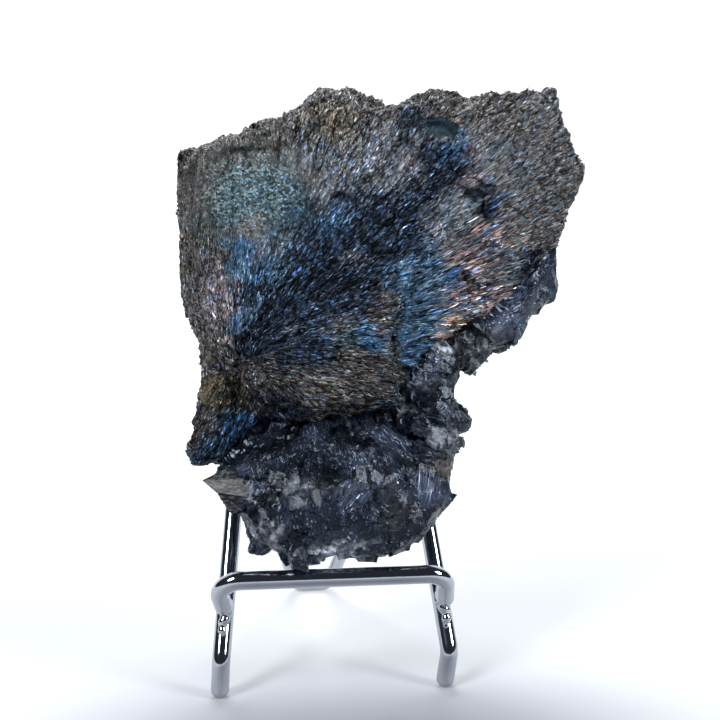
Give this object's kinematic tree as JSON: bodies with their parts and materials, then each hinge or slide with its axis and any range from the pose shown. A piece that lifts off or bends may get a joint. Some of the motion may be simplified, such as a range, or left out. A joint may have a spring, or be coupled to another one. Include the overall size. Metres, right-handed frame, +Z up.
{
  "type": "berthierite mineral specimen on a wire display easel",
  "caption": "Dark iridescent fan of fibrous metallic crystals grown with dark quartz, leaning on a small easel of bent and welded chrome wire.",
  "frame": {"origin": "on the floor, under the middle of the whole object's bounding box", "axes": "+Z up, -Y towards the viewer who faces the fan of fibres, +X to that viewer's right along the stand's front bar"},
  "size_m": [0.1022, 0.0892, 0.141],
  "materials": {
    "berthierite": "fibrous, metallic lustre with blue, teal, gold and pink tarnish",
    "dark_quartz": "glassy, dark with fine needles inside, paler at thin edges",
    "chrome_wire": "polished"
  },
  "bodies": {
    "root": {"berthierite": "berthierite", "quartz_cluster": "dark_quartz", "back_frame": "chrome_wire", "front_lip": "chrome_wire", "rear_leg": "chrome_wire"}
  },
  "joints": []
}
